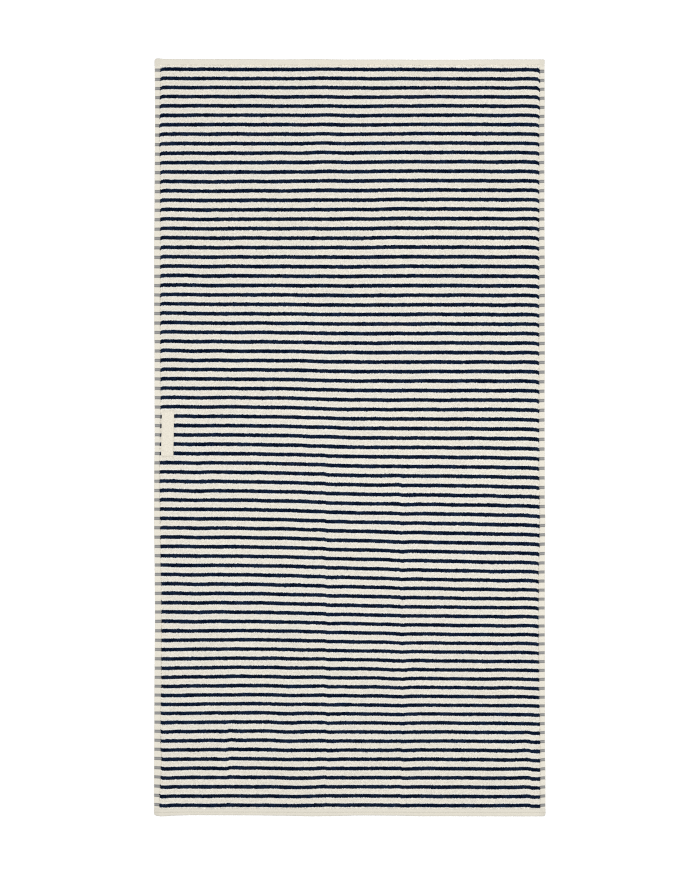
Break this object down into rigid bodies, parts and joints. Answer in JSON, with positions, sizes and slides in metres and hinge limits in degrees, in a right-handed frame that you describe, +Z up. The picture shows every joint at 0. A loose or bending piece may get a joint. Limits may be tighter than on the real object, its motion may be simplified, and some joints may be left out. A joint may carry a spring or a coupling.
{
  "type": "bath towel",
  "caption": "Striped terry bath towel spread out flat, with flat-woven side borders, turned end hems and a small sewn-on woven label.",
  "frame": {"origin": "on the surface that the towel lies on, under the middle of the cloth", "axes": "+X across the width, away from the side with the label; +Y along the length; +Z up, out of the face"},
  "size_m": [0.702, 1.358, 0.0043],
  "materials": {
    "striped_terry": "looped cotton pile in cream with narrow navy stripes across the width",
    "label_tape": "smooth closely woven cream tape"
  },
  "bodies": {
    "root": {"towel_cloth": "striped_terry", "side_label": "label_tape"}
  },
  "joints": []
}
